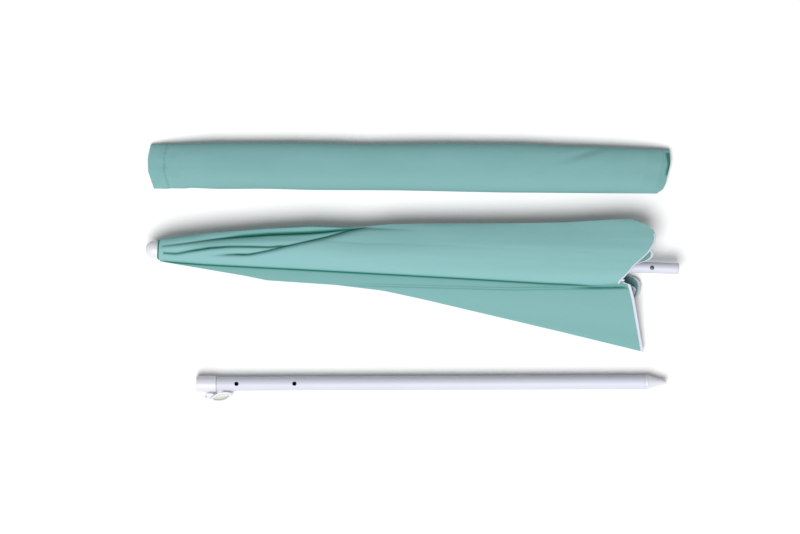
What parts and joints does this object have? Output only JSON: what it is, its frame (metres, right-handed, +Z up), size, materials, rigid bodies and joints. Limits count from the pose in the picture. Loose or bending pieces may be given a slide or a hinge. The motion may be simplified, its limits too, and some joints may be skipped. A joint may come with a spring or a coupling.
{
  "type": "beach umbrella",
  "caption": "Two-piece beach umbrella folded flat: canopy on its upper pole with runner and hinged ribs, a spiked lower pole with clamp knob, and a carry sleeve.",
  "frame": {"origin": "bottom centre of the laid-out kit, on the ground", "axes": "+X along the poles from the crown to the open ends, +Z up"},
  "size_m": [1.1996, 0.5796, 0.0913],
  "materials": {
    "white_paint": "gloss powder coat",
    "white_plastic": "moulded",
    "rib_fibreglass": "satin rod",
    "canopy_cloth": "woven",
    "sleeve_cloth": "woven",
    "bare_steel": "satin"
  },
  "bodies": {
    "upper_pole": {"upper_pole": "white_paint", "finial_cap": "white_plastic", "crown_hub": "white_plastic", "crown_collar": "canopy_cloth", "pole_end_plug": "white_plastic", "snap_spring": "bare_steel"},
    "runner": {"runner": "white_plastic"},
    "runner_button": {"runner_button": "white_plastic"},
    "snap_button": {"snap_button": "bare_steel"},
    "lower_pole": {"lower_pole_tube": "white_paint", "socket_collar": "white_plastic", "clamp_boss": "white_plastic", "seam_ring": "white_plastic", "spike_tip": "white_plastic"},
    "clamp_knob": {"clamp_knob": "white_plastic", "clamp_stud": "bare_steel"},
    "sleeve": {"sleeve_hem": "sleeve_cloth", "sleeve_body": "sleeve_cloth"},
    "rib_1": {"rib_1": "rib_fibreglass", "rib_tip_1": "white_plastic"},
    "stretcher_1": {"stretcher_1": "rib_fibreglass"},
    "rib_2": {"rib_2": "rib_fibreglass", "rib_tip_2": "white_plastic"},
    "stretcher_2": {"stretcher_2": "rib_fibreglass"},
    "rib_3": {"rib_3": "rib_fibreglass", "rib_tip_3": "white_plastic"},
    "stretcher_3": {"stretcher_3": "rib_fibreglass"},
    "rib_4": {"rib_4": "rib_fibreglass", "rib_tip_4": "white_plastic"},
    "stretcher_4": {"stretcher_4": "rib_fibreglass"},
    "rib_5": {"rib_5": "rib_fibreglass", "rib_tip_5": "white_plastic"},
    "stretcher_5": {"stretcher_5": "rib_fibreglass"},
    "rib_6": {"rib_6": "rib_fibreglass", "rib_tip_6": "white_plastic"},
    "stretcher_6": {"stretcher_6": "rib_fibreglass"},
    "rib_7": {"rib_7": "rib_fibreglass", "rib_tip_7": "white_plastic"},
    "stretcher_7": {"stretcher_7": "rib_fibreglass"},
    "rib_8": {"rib_8": "rib_fibreglass", "rib_tip_8": "white_plastic"},
    "stretcher_8": {"stretcher_8": "rib_fibreglass"},
    "gore_1_near_half": {"gore_1_near_half": "canopy_cloth"},
    "gore_1_far_half": {"gore_1_far_half": "canopy_cloth"},
    "gore_2_near_half": {"gore_2_near_half": "canopy_cloth"},
    "gore_2_far_half": {"gore_2_far_half": "canopy_cloth"},
    "gore_3_near_half": {"gore_3_near_half": "canopy_cloth"},
    "gore_3_far_half": {"gore_3_far_half": "canopy_cloth"},
    "gore_4_near_half": {"gore_4_near_half": "canopy_cloth"},
    "gore_4_far_half": {"gore_4_far_half": "canopy_cloth"},
    "gore_5_near_half": {"gore_5_near_half": "canopy_cloth"},
    "gore_5_far_half": {"gore_5_far_half": "canopy_cloth"},
    "gore_6_near_half": {"gore_6_near_half": "canopy_cloth"},
    "gore_6_far_half": {"gore_6_far_half": "canopy_cloth"},
    "gore_7_near_half": {"gore_7_near_half": "canopy_cloth"},
    "gore_7_far_half": {"gore_7_far_half": "canopy_cloth"},
    "gore_8_near_half": {"gore_8_near_half": "canopy_cloth"},
    "gore_8_far_half": {"gore_8_far_half": "canopy_cloth"}
  },
  "joints": [
    {"name": "runner_slide", "type": "slide", "parent": "upper_pole", "child": "runner", "axis": [-0.9993, 0.0366, 0], "range_m": [0, 0.59623], "deforming": ["gore_1_near_half", "gore_1_far_half", "gore_2_near_half", "gore_2_far_half", "gore_3_near_half", "gore_3_far_half", "gore_4_near_half", "gore_4_far_half", "gore_5_near_half", "gore_5_far_half", "gore_6_near_half", "gore_6_far_half", "gore_7_near_half", "gore_7_far_half", "gore_8_near_half", "gore_8_far_half"]},
    {"name": "rib_1_swing", "type": "hinge", "parent": "upper_pole", "child": "rib_1", "pos_m": [-0.55539, 0.03476, 0.04935], "axis": [-0.014, -0.3824, -0.9239], "range_deg": [0, 72.11]},
    {"name": "stretcher_1_swing", "type": "hinge", "parent": "rib_1", "child": "stretcher_1", "pos_m": [-0.08872, 0.01627, 0.04993], "axis": [0.014, 0.3824, 0.9239], "range_deg": [0, 135.03]},
    {"name": "rib_2_swing", "type": "hinge", "parent": "upper_pole", "child": "rib_2", "pos_m": [-0.55506, 0.04374, 0.05834], "axis": [-0.0339, -0.9233, -0.3827], "range_deg": [0, 72.11]},
    {"name": "stretcher_2_swing", "type": "hinge", "parent": "rib_2", "child": "stretcher_2", "pos_m": [-0.08836, 0.02605, 0.05972], "axis": [0.0339, 0.9233, 0.3827], "range_deg": [0, 135.03]},
    {"name": "rib_3_swing", "type": "hinge", "parent": "upper_pole", "child": "rib_3", "pos_m": [-0.5546, 0.05644, 0.05834], "axis": [-0.0339, -0.9233, 0.3827], "range_deg": [0, 72.11]},
    {"name": "stretcher_3_swing", "type": "hinge", "parent": "rib_3", "child": "stretcher_3", "pos_m": [-0.08786, 0.03989, 0.05972], "axis": [0.0339, 0.9233, -0.3827], "range_deg": [0, 135.03]},
    {"name": "rib_4_swing", "type": "hinge", "parent": "upper_pole", "child": "rib_4", "pos_m": [-0.55427, 0.06541, 0.04935], "axis": [-0.014, -0.3824, 0.9239], "range_deg": [0, 72.11]},
    {"name": "stretcher_4_swing", "type": "hinge", "parent": "rib_4", "child": "stretcher_4", "pos_m": [-0.0875, 0.04968, 0.04993], "axis": [0.014, 0.3824, -0.9239], "range_deg": [0, 135.03]},
    {"name": "rib_5_swing", "type": "hinge", "parent": "upper_pole", "child": "rib_5", "pos_m": [-0.55427, 0.06541, 0.03665], "axis": [0.014, 0.3824, 0.9239], "range_deg": [0, 72.11]},
    {"name": "stretcher_5_swing", "type": "hinge", "parent": "rib_5", "child": "stretcher_5", "pos_m": [-0.0875, 0.04968, 0.03607], "axis": [-0.014, -0.3824, -0.9239], "range_deg": [0, 135.03]},
    {"name": "rib_6_swing", "type": "hinge", "parent": "upper_pole", "child": "rib_6", "pos_m": [-0.5546, 0.05644, 0.02766], "axis": [0.0339, 0.9233, 0.3827], "range_deg": [0, 72.11]},
    {"name": "stretcher_6_swing", "type": "hinge", "parent": "rib_6", "child": "stretcher_6", "pos_m": [-0.08786, 0.03989, 0.02628], "axis": [-0.0339, -0.9233, -0.3827], "range_deg": [0, 135.03]},
    {"name": "rib_7_swing", "type": "hinge", "parent": "upper_pole", "child": "rib_7", "pos_m": [-0.55506, 0.04374, 0.02766], "axis": [0.0339, 0.9233, -0.3827], "range_deg": [0, 72.11]},
    {"name": "stretcher_7_swing", "type": "hinge", "parent": "rib_7", "child": "stretcher_7", "pos_m": [-0.08836, 0.02605, 0.02628], "axis": [-0.0339, -0.9233, 0.3827], "range_deg": [0, 135.03]},
    {"name": "rib_8_swing", "type": "hinge", "parent": "upper_pole", "child": "rib_8", "pos_m": [-0.55539, 0.03476, 0.03665], "axis": [0.014, 0.3824, -0.9239], "range_deg": [0, 72.11]},
    {"name": "stretcher_8_swing", "type": "hinge", "parent": "rib_8", "child": "stretcher_8", "pos_m": [-0.08872, 0.01627, 0.03607], "axis": [-0.014, -0.3824, 0.9239], "range_deg": [0, 135.03]},
    {"name": "gore_1_near_fold", "type": "hinge", "parent": "rib_1", "child": "gore_1_near_half", "pos_m": [-0.54035, 0.04346, 0.01295], "axis": [0.9421, -0.1974, 0.2712], "range_deg": [0, 55.35]},
    {"name": "gore_1_far_fold", "type": "hinge", "parent": "rib_2", "child": "gore_1_far_half", "pos_m": [-0.5511, 0.05701, 0.06209], "axis": [-0.9811, 0.1928, 0.0184], "range_deg": [0, 142.68]},
    {"name": "gore_2_near_fold", "type": "hinge", "parent": "rib_2", "child": "gore_2_near_half", "pos_m": [-0.51258, 0.01291, 0.0141], "axis": [0.7619, -0.0275, 0.6471], "range_deg": [0, 27.23]},
    {"name": "gore_2_far_fold", "type": "hinge", "parent": "rib_3", "child": "gore_2_far_half", "pos_m": [-0.55232, 0.0633, 0.05733], "axis": [0.9821, -0.1814, 0.0513], "range_deg": [0, 179.85]},
    {"name": "gore_3_near_fold", "type": "hinge", "parent": "rib_3", "child": "gore_3_near_half", "pos_m": [-0.52856, 0.11387, 0.0549], "axis": [-0.611, 0.3937, 0.6868], "range_deg": [0, 22.54]},
    {"name": "gore_3_far_fold", "type": "hinge", "parent": "rib_4", "child": "gore_3_far_half", "pos_m": [-0.55336, 0.0683, 0.04984], "axis": [0.9807, -0.1677, 0.101], "range_deg": [0, 131.06]},
    {"name": "gore_4_near_fold", "type": "hinge", "parent": "rib_4", "child": "gore_4_near_half", "pos_m": [-0.55313, 0.07715, 0.04334], "axis": [-0.9409, 0.2744, 0.1986], "range_deg": [0, 59.64]},
    {"name": "gore_4_far_fold", "type": "hinge", "parent": "rib_5", "child": "gore_4_far_half", "pos_m": [-0.55383, 0.07321, 0.04021], "axis": [0.9582, -0.2121, 0.1922], "range_deg": [0, 72.28]},
    {"name": "gore_5_near_fold", "type": "hinge", "parent": "rib_5", "child": "gore_5_near_half", "pos_m": [-0.55371, 0.06834, 0.03361], "axis": [-0.9756, 0.2029, 0.0833], "range_deg": [0, 113.12]},
    {"name": "gore_5_far_fold", "type": "hinge", "parent": "rib_6", "child": "gore_5_far_half", "pos_m": [-0.54256, 0.088, 0.02025], "axis": [0.7841, -0.2657, 0.5608], "range_deg": [0, 30.1]},
    {"name": "gore_6_near_fold", "type": "hinge", "parent": "rib_6", "child": "gore_6_near_half", "pos_m": [-0.48611, 0.09511, 0.06688], "axis": [0.5349, 0.0552, -0.8431], "range_deg": [0, 20.25]},
    {"name": "gore_6_far_fold", "type": "hinge", "parent": "rib_7", "child": "gore_6_far_half", "pos_m": [-0.55371, 0.03848, 0.02603], "axis": [0.9933, 0.111, -0.0314], "range_deg": [0, 166.52]},
    {"name": "gore_7_near_fold", "type": "hinge", "parent": "rib_7", "child": "gore_7_near_half", "pos_m": [-0.54914, 0.01791, 0.01966], "axis": [-0.8696, -0.1442, -0.4723], "range_deg": [0, 33.3]},
    {"name": "gore_7_far_fold", "type": "hinge", "parent": "rib_8", "child": "gore_7_far_half", "pos_m": [-0.55509, 0.03161, 0.03217], "axis": [0.9902, 0.1166, -0.0766], "range_deg": [0, 113.46]},
    {"name": "gore_8_near_fold", "type": "hinge", "parent": "rib_8", "child": "gore_8_near_half", "pos_m": [-0.55515, 0.02916, 0.03721], "axis": [-0.9824, -0.0844, -0.1664], "range_deg": [0, 82.19]},
    {"name": "gore_8_far_fold", "type": "hinge", "parent": "rib_1", "child": "gore_8_far_half", "pos_m": [-0.55455, 0.01836, 0.04151], "axis": [0.9696, 0.1745, -0.1717], "range_deg": [0, 60.33]},
    {"name": "snap_button_press", "type": "slide", "parent": "upper_pole", "child": "snap_button", "axis": [0, 0, -1], "range_m": [0, 0.004], "stiffness_N_per_m": 400, "deforming": ["snap_spring"]},
    {"name": "runner_button_press", "type": "slide", "parent": "runner", "child": "runner_button", "axis": [0, 0, -1], "range_m": [0, 0.0014], "stiffness_N_per_m": 400},
    {"name": "lower_pole_aside", "type": "slide", "parent": "upper_pole", "child": "lower_pole", "axis": [0, -1, 0], "range_m": [0, 0.3]},
    {"name": "clamp_knob_turn", "type": "hinge", "parent": "lower_pole", "child": "clamp_knob", "pos_m": [-0.43211, -0.28144, 0.018], "axis": [0.0037, -1, 0], "range_deg": [0, 180]},
    {"name": "sleeve_aside", "type": "slide", "parent": "upper_pole", "child": "sleeve", "axis": [0, 1, 0], "range_m": [0, 0.3]}
  ],
  "couplings": [
    {"joint": "rib_1_swing", "follows": "runner_slide", "rad_per_m": 2.1107},
    {"joint": "stretcher_1_swing", "follows": "runner_slide", "rad_per_m": 3.9525},
    {"joint": "rib_2_swing", "follows": "runner_slide", "rad_per_m": 2.1107},
    {"joint": "stretcher_2_swing", "follows": "runner_slide", "rad_per_m": 3.9525},
    {"joint": "rib_3_swing", "follows": "runner_slide", "rad_per_m": 2.1107},
    {"joint": "stretcher_3_swing", "follows": "runner_slide", "rad_per_m": 3.9525},
    {"joint": "rib_4_swing", "follows": "runner_slide", "rad_per_m": 2.1107},
    {"joint": "stretcher_4_swing", "follows": "runner_slide", "rad_per_m": 3.9525},
    {"joint": "rib_5_swing", "follows": "runner_slide", "rad_per_m": 2.1107},
    {"joint": "stretcher_5_swing", "follows": "runner_slide", "rad_per_m": 3.9525},
    {"joint": "rib_6_swing", "follows": "runner_slide", "rad_per_m": 2.1107},
    {"joint": "stretcher_6_swing", "follows": "runner_slide", "rad_per_m": 3.9525},
    {"joint": "rib_7_swing", "follows": "runner_slide", "rad_per_m": 2.1107},
    {"joint": "stretcher_7_swing", "follows": "runner_slide", "rad_per_m": 3.9525},
    {"joint": "rib_8_swing", "follows": "runner_slide", "rad_per_m": 2.1107},
    {"joint": "stretcher_8_swing", "follows": "runner_slide", "rad_per_m": 3.9525},
    {"joint": "gore_1_near_fold", "follows": "runner_slide", "rad_per_m": 1.6199},
    {"joint": "gore_1_far_fold", "follows": "runner_slide", "rad_per_m": 4.1763},
    {"joint": "gore_2_near_fold", "follows": "runner_slide", "rad_per_m": 0.79665},
    {"joint": "gore_2_far_fold", "follows": "runner_slide", "rad_per_m": 5.2644},
    {"joint": "gore_3_near_fold", "follows": "runner_slide", "rad_per_m": 0.65954},
    {"joint": "gore_3_far_fold", "follows": "runner_slide", "rad_per_m": 3.8361},
    {"joint": "gore_4_near_fold", "follows": "runner_slide", "rad_per_m": 1.7456},
    {"joint": "gore_4_far_fold", "follows": "runner_slide", "rad_per_m": 2.1156},
    {"joint": "gore_5_near_fold", "follows": "runner_slide", "rad_per_m": 3.3109},
    {"joint": "gore_5_far_fold", "follows": "runner_slide", "rad_per_m": 0.88083},
    {"joint": "gore_6_near_fold", "follows": "runner_slide", "rad_per_m": 0.59244},
    {"joint": "gore_6_far_fold", "follows": "runner_slide", "rad_per_m": 4.8741},
    {"joint": "gore_7_near_fold", "follows": "runner_slide", "rad_per_m": 0.97461},
    {"joint": "gore_7_far_fold", "follows": "runner_slide", "rad_per_m": 3.3209},
    {"joint": "gore_8_near_fold", "follows": "runner_slide", "rad_per_m": 2.4057},
    {"joint": "gore_8_far_fold", "follows": "runner_slide", "rad_per_m": 1.7657}
  ]
}
